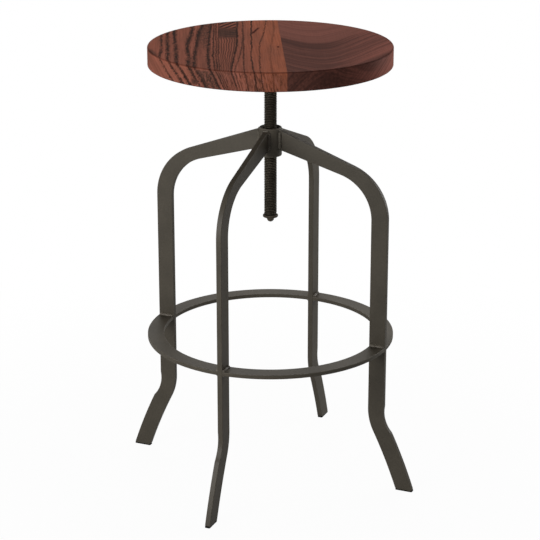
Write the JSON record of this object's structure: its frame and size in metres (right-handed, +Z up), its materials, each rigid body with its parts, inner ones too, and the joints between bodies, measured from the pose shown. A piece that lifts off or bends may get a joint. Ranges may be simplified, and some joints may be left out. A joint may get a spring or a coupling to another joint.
{
  "type": "swivel bar stool",
  "caption": "Screw-adjusted bar stool: round two-board wooden seat on a threaded spindle, a hub, bent flat-bar legs and a welded flat foot ring.",
  "frame": {"origin": "on the floor, on the upright axis of the spindle", "axes": "+Z up along the spindle; the legs stand on the diagonals of X and Y, so the gaps for the feet face X and Y"},
  "size_m": [0.3712, 0.3712, 0.6658],
  "materials": {
    "seat_wood_light": "red-brown stain, satin",
    "seat_wood_dark": "darker red-brown stain, satin",
    "frame_coat": "satin bronze-brown powder coat on steel",
    "spindle_coat": "dark satin coat on steel",
    "glide_plastic": "matte black"
  },
  "bodies": {
    "frame": {"hub": "frame_coat", "hub_nut": "spindle_coat", "hub_welds": "frame_coat", "leg_front_left": "frame_coat", "leg_front_right": "frame_coat", "leg_back_left": "frame_coat", "leg_back_right": "frame_coat", "foot_ring_front": "frame_coat", "foot_ring_right": "frame_coat", "foot_ring_back": "frame_coat", "foot_ring_left": "frame_coat", "ring_welds": "frame_coat", "foot_glide_front_left": "glide_plastic", "foot_glide_front_right": "glide_plastic", "foot_glide_back_left": "glide_plastic", "foot_glide_back_right": "glide_plastic"},
    "stop": {"stop_washer": "spindle_coat"},
    "seat": {"seat_board_left": "seat_wood_light", "seat_board_right": "seat_wood_dark", "seat_plate": "frame_coat", "spindle": "spindle_coat", "stop_nut": "spindle_coat"}
  },
  "joints": [
    {"name": "seat_lift", "type": "slide", "parent": "frame", "child": "stop", "axis": [0, 0, 1], "range_m": [-0.0838, 0.0888]},
    {"name": "seat_turn", "type": "hinge", "parent": "stop", "child": "seat", "pos_m": [0, 0, 0.41], "axis": [0, 0, 1], "range_deg": [-11880, 12600]}
  ],
  "couplings": [
    {"joint": "seat_turn", "follows": "seat_lift", "rad_per_m": 2473.7}
  ]
}
